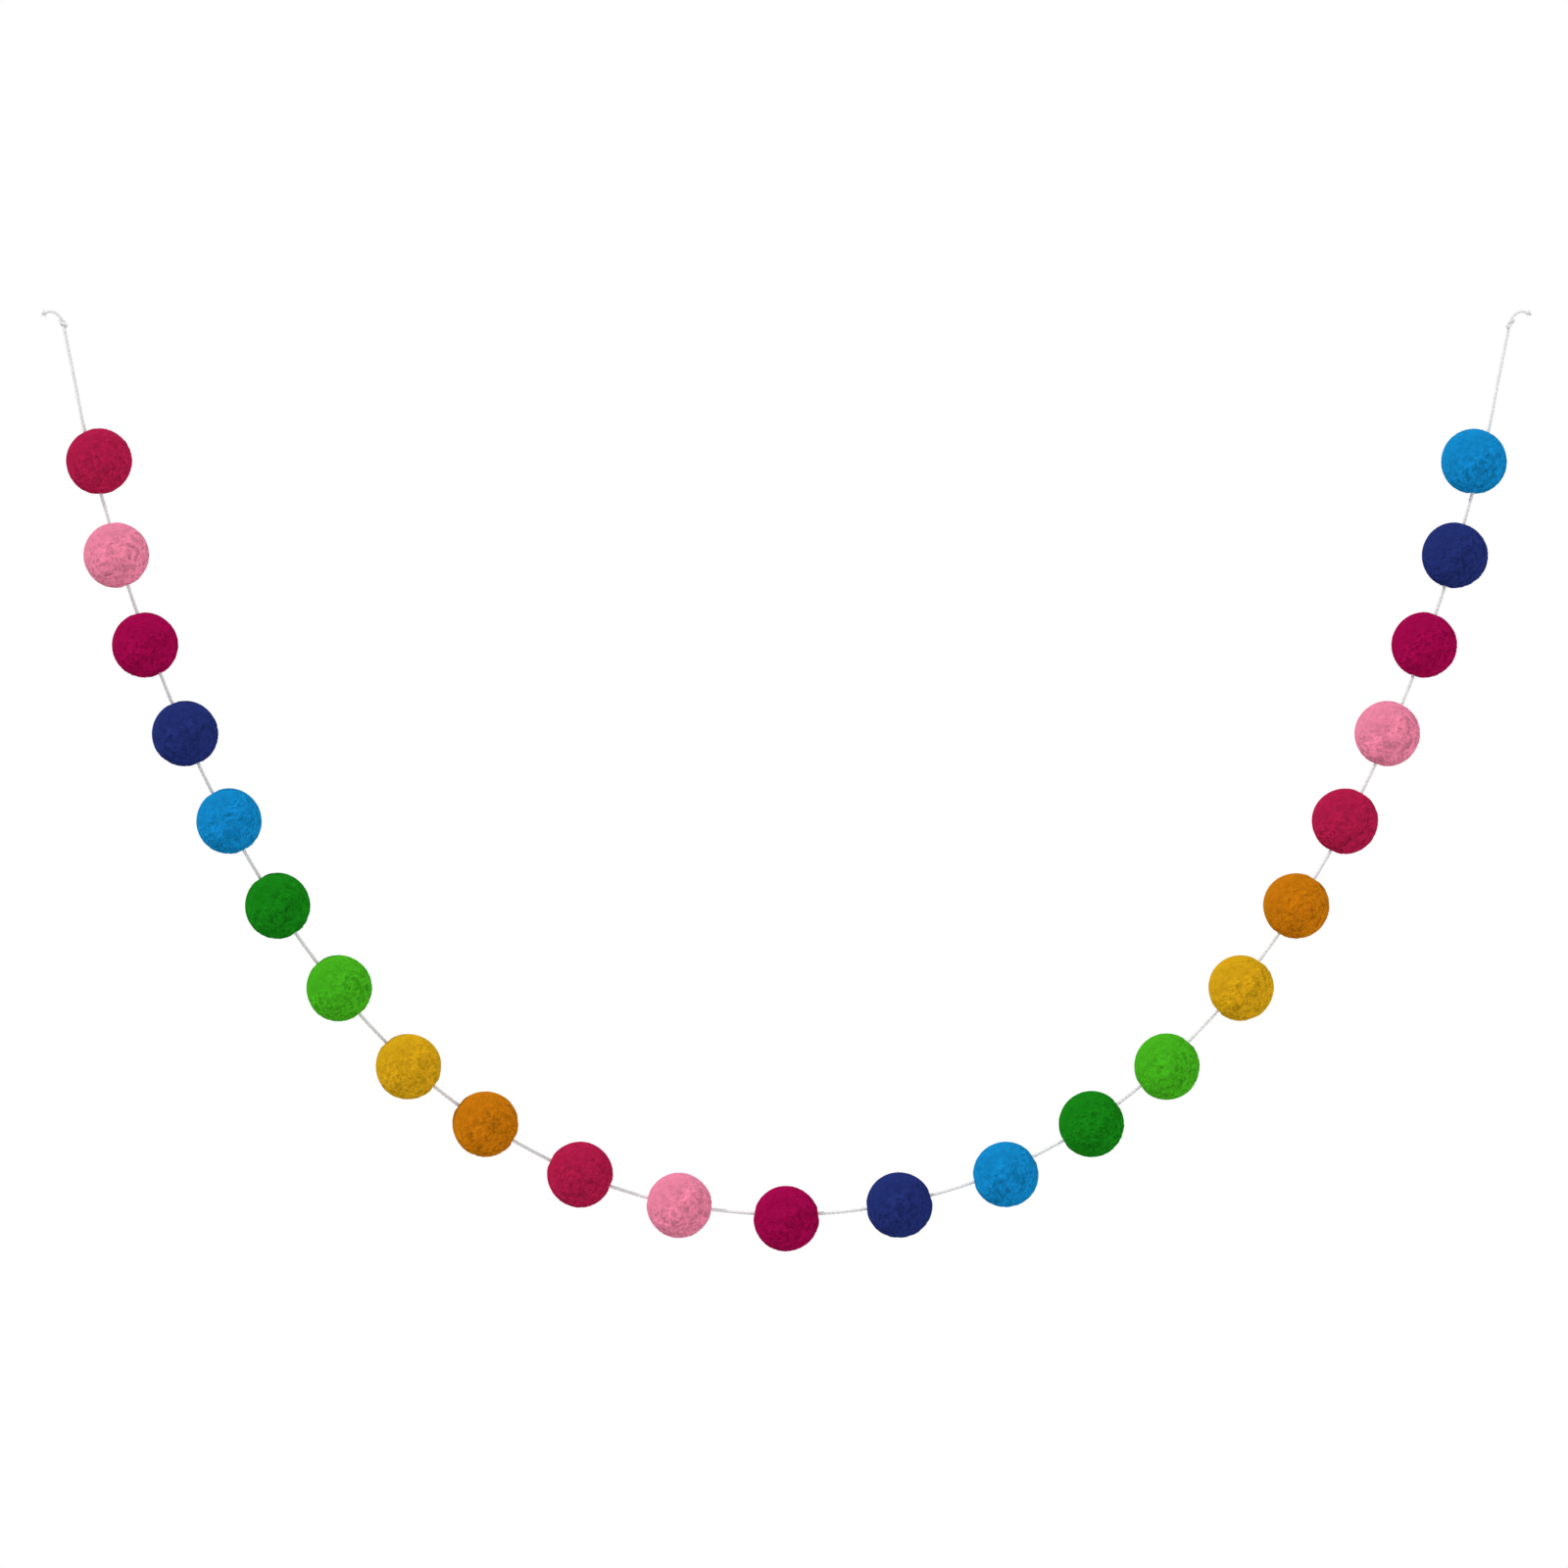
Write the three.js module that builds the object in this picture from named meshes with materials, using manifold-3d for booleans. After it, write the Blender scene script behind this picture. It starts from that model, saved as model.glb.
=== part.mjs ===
// A felt ball garland: felted wool balls threaded on one fine cotton string, which hangs in a deep curve
// between its two end knots. Millimetres. +X runs to the right along the hanging line, +Y away from the
// viewer and +Z up. The origin is the middle of the left end knot.
import * as THREE from "three";
import { mergeVertices } from "three/addons/utils/BufferGeometryUtils.js";
import Module from "manifold-3d";

// Driving sizes
const BALL_DIAMETER = 25;
const BALL_UNEVENNESS = 0.18;
const BALL_DETAIL = 3;
const STRING_DIAMETER = 1.4;
const STRING_SIDES = 8;
const STRING_STEPS = 80;
const CLEARANCE = 0.3;

// Sizes of an end knot, measured from its middle
const KNOT_NECK = 2.1;
const KNOT_CORE = { across: 1.6, deep: 1.3, along: 1.7 };
const KNOT_TURN = { radius: 1.2, tilt: 0.6, faces: 14 };
const KNOT_TAIL_STEPS = 6;

// Felt colours, in the order in which they repeat from left to right
const FELT_COLOURS = [
  { name: "raspberry", colour: 0xb21c48 },
  { name: "pink", colour: 0xe482a0 },
  { name: "magenta", colour: 0xa0034f },
  { name: "navy", colour: 0x232d73 },
  { name: "bright blue", colour: 0x1686c8 },
  { name: "dark green", colour: 0x168414 },
  { name: "light green", colour: 0x42af20 },
  { name: "mustard", colour: 0xd6a018 },
  { name: "orange", colour: 0xcf7a10 },
];
const STRING_COLOUR = 0xdedddb;

// The middle of each ball, from left to right
const BALLS = [
  { x: 13.7, z: -52.7 },
  { x: 20.3, z: -88.6 },
  { x: 31.3, z: -123.0 },
  { x: 46.6, z: -156.9 },
  { x: 63.4, z: -190.4 },
  { x: 82.0, z: -222.8 },
  { x: 105.6, z: -254.3 },
  { x: 132.1, z: -284.3 },
  { x: 161.5, z: -306.3 },
  { x: 197.7, z: -325.6 },
  { x: 235.7, z: -337.4 },
  { x: 276.7, z: -342.5 },
  { x: 319.9, z: -337.3 },
  { x: 360.6, z: -325.6 },
  { x: 393.4, z: -306.3 },
  { x: 422.3, z: -284.3 },
  { x: 450.7, z: -254.2 },
  { x: 471.8, z: -222.8 },
  { x: 490.4, z: -190.4 },
  { x: 506.6, z: -156.9 },
  { x: 520.8, z: -123.0 },
  { x: 532.5, z: -88.7 },
  { x: 539.8, z: -52.8 },
];

// The string's route: a point in the middle of each gap between two balls, and three along each free end
const ROUTE = [
  { x: 0.5, z: -2.4 },
  { x: 4.1, z: -20.3 },
  { x: 8.1, z: -40.5 },
  { x: 16.1, z: -70.9 },
  { x: 26.6, z: -105.7 },
  { x: 39.5, z: -139.8 },
  { x: 54.4, z: -174.1 },
  { x: 72.4, z: -207.2 },
  { x: 92.9, z: -238.9 },
  { x: 118.6, z: -269.9 },
  { x: 146.6, z: -295.6 },
  { x: 179.6, z: -316.7 },
  { x: 216.6, z: -332.5 },
  { x: 256.3, z: -339.9 },
  { x: 298.2, z: -339.9 },
  { x: 340.7, z: -331.1 },
  { x: 376.9, z: -315.8 },
  { x: 408.0, z: -295.2 },
  { x: 436.3, z: -268.9 },
  { x: 460.9, z: -239.5 },
  { x: 481.6, z: -207.7 },
  { x: 499.5, z: -174.1 },
  { x: 514.3, z: -140.7 },
  { x: 526.8, z: -106.3 },
  { x: 537.6, z: -70.9 },
  { x: 545.4, z: -40.9 },
  { x: 549.4, z: -20.4 },
  { x: 553.0, z: -2.4 },
];

// A knot's cut tail, from the knot's middle: it leaves the knot upwards and flops over to one side
const KNOT_TAIL = [
  { out: 0.0, up: 0.0 },
  { out: 0.5, up: 2.2 },
  { out: 1.8, up: 4.4 },
  { out: 4.0, up: 5.6 },
  { out: 6.4, up: 5.2 },
];

const wasm = await Module();
wasm.setup();

// Turns a closed three.js geometry into a solid that can be cut and joined.
function solidFrom(geometry) {
  const bare = geometry.clone();
  bare.deleteAttribute("normal");
  bare.deleteAttribute("uv");
  const merged = mergeVertices(bare, 1e-4);
  return new wasm.Manifold(
    new wasm.Mesh({
      numProp: 3,
      vertProperties: new Float32Array(merged.attributes.position.array),
      triVerts: new Uint32Array(merged.index.array),
    }),
  );
}

// Turns a solid back into a three.js geometry.
function geometryFrom(solid) {
  const mesh = solid.getMesh();
  const geometry = new THREE.BufferGeometry();
  geometry.setAttribute("position", new THREE.BufferAttribute(new Float32Array(mesh.vertProperties), 3));
  geometry.setIndex(new THREE.BufferAttribute(new Uint32Array(mesh.triVerts), 1));
  geometry.computeVertexNormals();
  return geometry;
}

// A closed round bar of the given radius along a curve.
function barAlong(curve, radius, steps) {
  const corners = [];
  for (let i = 0; i < STRING_SIDES; i++) {
    const angle = (2 * Math.PI * i) / STRING_SIDES;
    corners.push(new THREE.Vector2(radius * Math.cos(angle), radius * Math.sin(angle)));
  }
  return new THREE.ExtrudeGeometry(new THREE.Shape(corners), { extrudePath: curve, steps, bevelEnabled: false });
}

// How far a felted ball swells or dips in a direction, from -1 to 1: no two balls are felted alike.
function unevenness(direction, number) {
  const first = Math.sin(3.1 * direction.x + 1.3 * number);
  const second = Math.sin(2.7 * direction.y + 2.1 * number);
  const third = Math.sin(3.5 * direction.z + 0.7 * number);
  return (first + second + third) / 3;
}

// A felted ball about its own middle, before it is threaded.
function ballGeometry(number) {
  const geometry = new THREE.IcosahedronGeometry(BALL_DIAMETER / 2, BALL_DETAIL);
  const points = geometry.attributes.position;
  const point = new THREE.Vector3();
  for (let i = 0; i < points.count; i++) {
    const direction = point.fromBufferAttribute(points, i).normalize();
    const radius = BALL_DIAMETER / 2 + BALL_UNEVENNESS * unevenness(direction, number);
    point.multiplyScalar(radius);
    points.setXYZ(i, point.x, point.y, point.z);
  }
  return geometry;
}

// A turn of string round the knot, tilted one way or the other.
function knotTurn(tilt) {
  const turn = new THREE.TorusGeometry(KNOT_TURN.radius, STRING_DIAMETER / 2, STRING_SIDES, KNOT_TURN.faces);
  turn.rotateY(tilt);
  return solidFrom(turn);
}

// An end knot about its own middle: the string comes in from below, and the cut tail flops to one side.
function knotGeometry(tailSide) {
  const core = new THREE.SphereGeometry(1, 12, 8);
  core.scale(KNOT_CORE.across, KNOT_CORE.deep, KNOT_CORE.along);
  const neck = new THREE.CylinderGeometry(STRING_DIAMETER / 2, STRING_DIAMETER / 2, KNOT_NECK, STRING_SIDES);
  neck.rotateX(Math.PI / 2);
  neck.translate(0, 0, -KNOT_NECK / 2);
  const tailPoints = KNOT_TAIL.map((point) => new THREE.Vector3(tailSide * point.out, 0, point.up));
  const tail = barAlong(new THREE.CatmullRomCurve3(tailPoints), STRING_DIAMETER / 2, KNOT_TAIL_STEPS);
  const knot = solidFrom(core)
    .add(solidFrom(neck))
    .add(knotTurn(KNOT_TURN.tilt))
    .add(knotTurn(-KNOT_TURN.tilt))
    .add(solidFrom(tail));
  return geometryFrom(knot);
}

const garland = new THREE.Group();
garland.name = "felt_ball_garland";

const routePoints = ROUTE.map((point) => new THREE.Vector3(point.x, 0, point.z));
const route = new THREE.CatmullRomCurve3(routePoints, false, "centripetal");
const stringFinish = new THREE.MeshStandardMaterial({ color: STRING_COLOUR, roughness: 0.9, metalness: 0 });

// The string, in one length from knot to knot
const string = new THREE.Mesh(barAlong(route, STRING_DIAMETER / 2, STRING_STEPS), stringFinish);
string.name = "string";
garland.add(string);

// The balls, each with the needle hole that the string runs through
const needleHole = solidFrom(barAlong(route, STRING_DIAMETER / 2 + CLEARANCE, STRING_STEPS));
BALLS.forEach((place, index) => {
  const felt = FELT_COLOURS[index % FELT_COLOURS.length];
  const finish = new THREE.MeshStandardMaterial({ color: felt.colour, roughness: 0.95, metalness: 0 });
  finish.name = felt.name;
  const hole = needleHole.translate([-place.x, 0, -place.z]);
  const threaded = solidFrom(ballGeometry(index + 1)).subtract(hole);
  const ball = new THREE.Mesh(geometryFrom(threaded), finish);
  ball.name = "felt_ball_" + String(index + 1).padStart(2, "0");
  ball.position.set(place.x, 0, place.z);
  garland.add(ball);
});

// The end knots, each in line with the string where the string ends
const ENDS = [
  { name: "knot_left", along: 0, intoString: 1, tailSide: -1 },
  { name: "knot_right", along: 1, intoString: -1, tailSide: 1 },
];
const DOWN = new THREE.Vector3(0, 0, -1);
for (const end of ENDS) {
  const knot = new THREE.Mesh(knotGeometry(end.tailSide), stringFinish);
  knot.name = end.name;
  const direction = route.getTangent(end.along).multiplyScalar(end.intoString);
  const offset = direction.clone().multiplyScalar(KNOT_NECK + CLEARANCE);
  knot.position.copy(route.getPoint(end.along)).sub(offset);
  knot.quaternion.setFromUnitVectors(DOWN, direction);
  garland.add(knot);
}

export default garland;
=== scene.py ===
# A felt ball garland: felted wool balls threaded on one twisted cotton string, which hangs in a deep curve
# between its two end knots. Metres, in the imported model's own frame: +X to the right along the hanging
# line, +Y away from the viewer and +Z up.
import math

import bpy
import numpy as np
from mathutils import Matrix, Quaternion, Vector


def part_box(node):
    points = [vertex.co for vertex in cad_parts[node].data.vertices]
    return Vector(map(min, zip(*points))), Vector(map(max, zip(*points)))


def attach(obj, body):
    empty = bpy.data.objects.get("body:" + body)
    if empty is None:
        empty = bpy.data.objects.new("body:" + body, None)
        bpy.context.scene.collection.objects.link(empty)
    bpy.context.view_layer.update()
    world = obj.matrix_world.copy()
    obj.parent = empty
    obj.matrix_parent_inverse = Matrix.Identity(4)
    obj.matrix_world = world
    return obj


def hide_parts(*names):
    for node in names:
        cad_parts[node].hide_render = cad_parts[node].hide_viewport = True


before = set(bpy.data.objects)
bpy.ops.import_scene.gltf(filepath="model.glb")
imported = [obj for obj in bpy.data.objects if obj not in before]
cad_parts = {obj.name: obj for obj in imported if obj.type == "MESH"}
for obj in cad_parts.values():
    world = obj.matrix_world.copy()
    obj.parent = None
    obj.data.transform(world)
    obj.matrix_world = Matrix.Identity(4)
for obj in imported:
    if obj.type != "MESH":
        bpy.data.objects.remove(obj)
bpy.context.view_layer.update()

scene = bpy.context.scene

# The felt colours, in the order in which they repeat from left to right, as sRGB
FELT_COLOURS = {
    "raspberry": (174, 29, 72),
    "pink": (227, 133, 161),
    "magenta": (159, 11, 74),
    "navy": (36, 49, 113),
    "bright_blue": (20, 135, 196),
    "dark_green": (24, 128, 23),
    "light_green": (70, 174, 30),
    "mustard": (206, 160, 24),
    "orange": (193, 117, 14),
}
STRING_COLOUR = (243, 243, 243)

# Sizes of a felted ball
BALL_COUNT = 23
BALL_DIAMETER = 0.025
BALL_SUBDIVISIONS = 6
HOLE_SIDES = 12
FELT_SIZES = {
    "Ball Diameter": BALL_DIAMETER,
    "Unevenness": 0.00018,
    "Swell Depth": 0.00006,
    "Ridge Height": 0.00020,
    "Pit Depth": 0.00012,
    "Dimple Depth": 0.0006,
    "Dimple Width": 0.0028,
}
FIBRE_SIZES = {
    "Needle Hole": 0.0016,
    "Lock Density": 90000.0,
    "Lock Shortest": 0.0012,
    "Lock Longest": 0.0036,
    "Lock Thickness": 0.00046,
    "Lock Height": 0.00011,
    "Strand Density": 110000.0,
    "Strand Shortest": 0.0016,
    "Strand Longest": 0.0050,
    "Strand Thickness": 0.00014,
    "Strand Height": 0.00006,
    "Hair Density": 70000.0,
    "Hair Shortest": 0.0006,
    "Hair Longest": 0.0020,
    "Hair Thickness": 0.000045,
}

# How much of the string's route is kept round a ball's middle, as a share of the ball's diameter
ROUTE_REACH = 0.68

# How far from the string the needle hole's wall is shaded flat, as a share of the hole's diameter
HOLE_WALL = 0.505

# The slow swell that the solid balls have too: its pitch along each axis, and its shift from ball to ball
SWELL_WAVES = (("X", 3.1, 1.3), ("Y", 2.7, 2.1), ("Z", 3.5, 0.7))

# The felt's relief on a ball of radius 1: how closely each kind is spaced, and its own step of the seed
RELIEF = {"lump": (3.4, 0.9), "ridge": (7.6, 2.3), "wander": (2.2, 4.1), "pit": (8.6, 6.7)}
RELIEF_SEED = 3.7
WARP_PITCH = 5.0
WARP_REACH = 0.11
RIDGE_WIDTH = 0.13
PIT_EDGE = 0.44
PIT_FLOOR = 0.26

# Each ball is smoother at its upper left and more wrinkled at its lower right
ROUGH_SIDE = Vector((0.55, -0.25, -0.80)).normalized()
ROUGH_WANDER = 1.1
ROUGH_STEP = 0.45
LOCKS_FROM_ROUGH = 0.45

# Seeds, and the steps between them that keep the random draws of the pieces and of their fibres apart
BALL_SEED_STEP = 31
FIRST_COTTON_SEED = 4
FIBRE_SEEDS = (101, 202, 303, 404, 505)
STRAND_SEED_STEP = 3000
HAIR_SEED_STEP = 7000
FRAY_SEED_STEP = 50

# Every fibre thins out at its tips. Locks and strands vary in thickness too, from the finest share up to 1,
# and their tips sink in
FINEST_FIBRE = 0.45
TIP_SHARPNESS = 3.0
TIP_TAPER = 0.8
TIP_SINK = 0.00005

# Locks and strands matted into a ball, and how they wander on a ball of radius 1
LOCK_STEPS = 6
LOCK_SIDES = 5
STRAND_STEPS = 5
STRAND_SIDES = 3
BEND_PITCH = 4.5
BEND_REACH = 0.16
BEND_SEED = 1.9

# Loose hairs. A lean is an angle out of the surface, from the least to the most
HAIR_STEPS = 4
HAIR_SIDES = 3
WOOL_HAIR_LEAN = (0.0, 0.7)
WOOL_HAIR_CURL = {"pitch": 700.0, "reach": 0.0012}
COTTON_HAIR_LEAN = (0.0, 0.8)
COTTON_FRAY_LEAN = (1.15, 1.55)
COTTON_HAIR_CURL = {"pitch": 900.0, "reach": 0.0006}
COTTON_CURL_SEED = 2.0

# Values stored on the meshes: the heights of what lies on the felt, an even tone, and when a mark counts.
# The wool's colour
# # turns the heights into painted shade where the felt lies low and painted light where it lies high
MATTED_HEIGHT = 0.6
HAIR_HEIGHT = 0.8
EVEN_TONE = 0.5
MARKED = 0.75

# Sizes of the string
STRING_DIAMETER = 0.0014
STRING_SIZES = {
    "String Diameter": STRING_DIAMETER,
    "Groove Depth": 0.26,
    "Slub": 0.07,
    "Hair Density": 260000.0,
    "Hair Shortest": 0.0005,
    "Hair Longest": 0.0016,
    "Hair Thickness": 0.00004,
    "Fray Density": 70e6,
    "Fray Shortest": 0.0004,
    "Fray Longest": 0.0016,
    "Fray Thickness": 0.00007,
}
PLIES = 3
SIDES_A_PLY = 6
PLY_LAY = 0.0052
SLUB_PITCH = 160.0
SLUB_SPREAD = 4.0
SHOWN_STEP = 0.00045
HIDDEN_STEP = 0.003
HIDDEN_WITHIN = 0.0112

# The string's route: a point in the middle of each gap between two balls, and three along each free end
ROUTE = [
    (0.0005, -0.0024),
    (0.0041, -0.0203),
    (0.0081, -0.0405),
    (0.0161, -0.0709),
    (0.0266, -0.1057),
    (0.0395, -0.1398),
    (0.0544, -0.1741),
    (0.0724, -0.2072),
    (0.0929, -0.2389),
    (0.1186, -0.2699),
    (0.1466, -0.2956),
    (0.1796, -0.3167),
    (0.2166, -0.3325),
    (0.2563, -0.3399),
    (0.2982, -0.3399),
    (0.3407, -0.3311),
    (0.3769, -0.3158),
    (0.4080, -0.2952),
    (0.4363, -0.2689),
    (0.4609, -0.2395),
    (0.4816, -0.2077),
    (0.4995, -0.1741),
    (0.5143, -0.1407),
    (0.5268, -0.1063),
    (0.5376, -0.0709),
    (0.5454, -0.0409),
    (0.5494, -0.0204),
    (0.5530, -0.0024),
]
SAMPLES_A_SPAN = 240

# Sizes of an end knot, from its middle, with its tail as points out to the side and up
KNOT_REACH = 0.0024
KNOT_ENTRY = 0.0015
KNOT_STRAND = 0.00115
KNOT_STEP = 0.00022
KNOT_SAMPLES = 12
KNOT_TAIL = [
    (0.0006, 0.0024),
    (0.0018, 0.0044),
    (0.0040, 0.0056),
    (0.0064, 0.0052),
]

# How a loose overhand knot is laid out, in thicknesses of its strand
KNOT_LOOSE_POINTS = 400
KNOT_LINKS = 96
KNOT_SLACK = 2.14
KNOT_SHAPE = (0.55, 0.45, 0.20)
KNOT_RISE = 1.6

# How it is pulled tight: its ends are led to the span in the first rounds, and every round eases bends and
# links by a share, pushes touching runs of the strand apart, and shortens the links while little is squeezed
KNOT_SPAN = 7.0
KNOT_LEAD_ROUNDS = 300
KNOT_PULL_ROUNDS = 1600
KNOT_LINK_ROUNDS = 6
KNOT_EASE = 0.25
KNOT_PUSH = 0.35
KNOT_MOST_PUSH = 0.1
KNOT_SAME_RUN = 1.35
KNOT_SQUEEZE = 0.06
KNOT_SHORTEN = 0.9993

# Camera: it looks straight at the garland from the front, from far enough for no perspective to show
CAMERA_DISTANCE = 3.0
FRAME_SPAN = 0.600
FRAME_MIDDLE = Vector((0.27585, 0.0, -0.17625))
SENSOR_WIDTH = 36.0

camera_data = bpy.data.cameras.new("camera")
camera_data.sensor_width = SENSOR_WIDTH
camera_data.lens = SENSOR_WIDTH * CAMERA_DISTANCE / FRAME_SPAN
camera = bpy.data.objects.new("camera", camera_data)
camera.location = FRAME_MIDDLE - Vector((0.0, CAMERA_DISTANCE, 0.0))
camera.rotation_euler = (math.radians(90), 0.0, 0.0)
scene.collection.objects.link(camera)
scene.camera = camera


# Node trees
SOCKET_KINDS = {float: "NodeSocketFloat", int: "NodeSocketInt", Vector: "NodeSocketVector"}


class Bench:
    """Adds nodes to one tree. An input is given by its name, as a value or as another node's output."""

    def __init__(self, tree):
        self.tree = tree

    def feed(self, socket, value):
        if isinstance(value, bpy.types.NodeSocket):
            self.tree.links.new(value, socket)
        else:
            socket.default_value = value

    def add(self, kind, inputs=(), **settings):
        node = self.tree.nodes.new(kind)
        for name, value in settings.items():
            setattr(node, name, value)
        for name, value in dict(inputs).items():
            self.feed(next(s for s in node.inputs if s.enabled and s.name == name), value)
        return node

    def get(self, kind, inputs=(), output=None, **settings):
        """Adds a node and returns its output of that name, or its first one."""
        node = self.add(kind, inputs, **settings)
        return next(s for s in node.outputs if s.enabled and output in (None, s.name))

    def maths(self, operation, *values):
        node = self.add("ShaderNodeMath", operation=operation)
        for socket, value in zip(node.inputs, values):
            self.feed(socket, value)
        return node.outputs["Value"]

    def vectors(self, operation, *values):
        node = self.add("ShaderNodeVectorMath", operation=operation)
        for socket, value in zip([s for s in node.inputs if s.enabled], values):
            self.feed(socket, value)
        return next(s for s in node.outputs if s.enabled)

    def ramp(self, value, low, high):
        """0 where value is at low, 1 where it is at high, and a soft step between them."""
        inputs = {"Value": value, "From Min": low, "From Max": high}
        return self.get("ShaderNodeMapRange", inputs, interpolation_type="SMOOTHSTEP")

    def noise(self, place, scale, seed, detail=1.0, output="Fac"):
        inputs = {"Vector": place, "Scale": scale, "W": seed, "Detail": detail}
        return self.get("ShaderNodeTexNoise", inputs, output, noise_dimensions="4D")

    def drift(self, place, scale, seed, reach, detail=1.0):
        """A vector that wanders from place to place, up to about reach long."""
        colour = self.noise(place, scale, seed, detail, "Color")
        centred = self.vectors("SUBTRACT", colour, (0.5, 0.5, 0.5))
        return self.vectors("SCALE", centred, self.maths("MULTIPLY", reach, 2.0))

    def above(self, value, limit):
        inputs = {"A": value, "B": limit}
        return self.get("FunctionNodeCompare", inputs, data_type="FLOAT", operation="GREATER_THAN")

    def stored(self, name, kind="FLOAT"):
        return self.get("GeometryNodeInputNamedAttribute", {"Name": name}, data_type=kind)

    def random(self, low, high, seed):
        inputs = {"Min": low, "Max": high, "Seed": seed}
        return self.get("FunctionNodeRandomValue", inputs, data_type="FLOAT")

    def store(self, geometry, name, value, domain="POINT", kind="FLOAT"):
        inputs = {"Geometry": geometry, "Name": name, "Value": value}
        return self.get("GeometryNodeStoreNamedAttribute", inputs, data_type=kind, domain=domain)


def new_tree(name, inputs, outputs):
    """A Geometry Nodes tree with named inputs, each given by its default value or its kind of socket."""
    tree = bpy.data.node_groups.new(name, "GeometryNodeTree")
    for label, value in inputs.items():
        kind = value if isinstance(value, str) else SOCKET_KINDS[type(value)]
        socket = tree.interface.new_socket(label, in_out="INPUT", socket_type=kind)
        if not isinstance(value, str):
            socket.default_value = value
    for label, kind in outputs.items():
        tree.interface.new_socket(label, in_out="OUTPUT", socket_type=kind)
    given = tree.nodes.new("NodeGroupInput").outputs
    result = tree.nodes.new("NodeGroupOutput").inputs
    return Bench(tree), given, result


def grown_piece(name, bench, values, start):
    """Runs a Geometry Nodes tree on a mesh with these inputs, and returns the result as a plain mesh."""
    source = bpy.data.objects.new(name + "_start", start)
    scene.collection.objects.link(source)
    modifier = source.modifiers.new("Growth", "NODES")
    modifier.node_group = bench.tree
    for item in bench.tree.interface.items_tree:
        if item.in_out == "INPUT" and item.name in values:
            modifier[item.identifier] = values[item.name]
    depsgraph = bpy.context.evaluated_depsgraph_get()
    mesh = bpy.data.meshes.new_from_object(source.evaluated_get(depsgraph))
    mesh.name = name
    bpy.data.objects.remove(source)
    piece = bpy.data.objects.new(name, mesh)
    scene.collection.objects.link(piece)
    return piece


# Fibres
def strewn_fibres(bench, given, kind, mesh, chosen, seed, start, steps, lean):
    """Straight fibres of one kind strewn over a mesh, each turned its own way and leaning out of it. A fibre
    of length 1 runs from start to start + 1, with 0 at its place on the mesh."""
    inputs = {"Mesh": mesh, "Selection": chosen, "Density": given[kind + " Density"], "Seed": seed}
    places = bench.add("GeometryNodeDistributePointsOnFaces", inputs)
    seeds = [bench.maths("ADD", seed, step) for step in FIBRE_SEEDS]
    turn = bench.random(0.0, math.tau, seeds[0])
    spin = bench.get("FunctionNodeAxisAngleToRotation", {"Axis": (0, 0, 1), "Angle": turn})
    least_lean, most_lean = lean
    rise = bench.random(-most_lean, -least_lean, seeds[1])
    tilt = bench.get("FunctionNodeAxisAngleToRotation", {"Axis": (0, 1, 0), "Angle": rise})
    facing = places.outputs["Rotation"]
    for step in (spin, tilt):
        inputs = {"Rotation": facing, "Rotate By": step}
        facing = bench.get("FunctionNodeRotateRotation", inputs, rotation_space="LOCAL")
    line = bench.get("GeometryNodeCurvePrimitiveLine", {"Start": (start, 0, 0), "End": (start + 1.0, 0, 0)})
    line = bench.get("GeometryNodeResampleCurve", {"Curve": line, "Count": steps + 1})
    length = bench.random(given[kind + " Shortest"], given[kind + " Longest"], seeds[2])
    inputs = {"Points": places.outputs["Points"], "Instance": line, "Rotation": facing, "Scale": length}
    fibres = bench.get("GeometryNodeInstanceOnPoints", inputs)
    fibres = bench.store(fibres, "fibre_tone", bench.random(0.0, 1.0, seeds[3]), "INSTANCE")
    fibres = bench.store(fibres, "fibre_size", bench.random(FINEST_FIBRE, 1.0, seeds[4]), "INSTANCE")
    return bench.get("GeometryNodeRealizeInstances", {"Geometry": fibres})


def tip_nearness(bench, both_tips):
    """How near a point of a fibre is to its tips, or to its far tip alone: 1 at a tip, and soon near 0."""
    factor = bench.get("GeometryNodeSplineParameter", output="Factor")
    if both_tips:
        factor = bench.maths("ABSOLUTE", bench.maths("MULTIPLY_ADD", factor, 2.0, -1.0))
    return bench.maths("POWER", factor, TIP_SHARPNESS)


def fibre_thickness(bench, thickness, nearness):
    """Half the thickness of a fibre, finer towards its tips."""
    share = bench.maths("MULTIPLY_ADD", nearness, -TIP_TAPER, 1.0)
    return bench.maths("MULTIPLY", share, bench.maths("MULTIPLY", thickness, 0.5))


def fibre_mesh(bench, curves, half_thickness, sides=HAIR_SIDES):
    """Gives fibres a body with a few sides."""
    section = bench.get("GeometryNodeCurvePrimitiveCircle", {"Resolution": sides, "Radius": 1.0}, "Curve")
    inputs = {"Curve": curves, "Profile Curve": section, "Scale": half_thickness, "Fill Caps": True}
    return bench.get("GeometryNodeCurveToMesh", inputs)


def position(bench):
    return bench.get("GeometryNodeInputPosition")


def moved(bench, geometry, place):
    return bench.get("GeometryNodeSetPosition", {"Geometry": geometry, "Position": place})


def curled(bench, hairs, seed, pitch, reach):
    """Curls hairs, most at their tips."""
    factor = bench.get("GeometryNodeSplineParameter", output="Factor")
    curl = bench.drift(position(bench), pitch, seed, bench.maths("MULTIPLY", factor, reach))
    return moved(bench, hairs, bench.vectors("ADD", position(bench), curl))


def string_distance(bench, route, place):
    """The nearest point of the string's route to a place, and how far away it is."""
    inputs = {"Geometry": route, "Sample Position": place}
    near = bench.add("GeometryNodeProximity", inputs, target_element="EDGES")
    return near.outputs["Position"], near.outputs["Distance"]


# Felt
FELT_SURFACE_INPUTS = {
    "Direction": Vector((0, 0, 1)),
    "Middle": Vector((0, 0, 0)),
    "Ball Number": 1.0,
    "Route": "NodeSocketGeometry",
    **FELT_SIZES,
}


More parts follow.
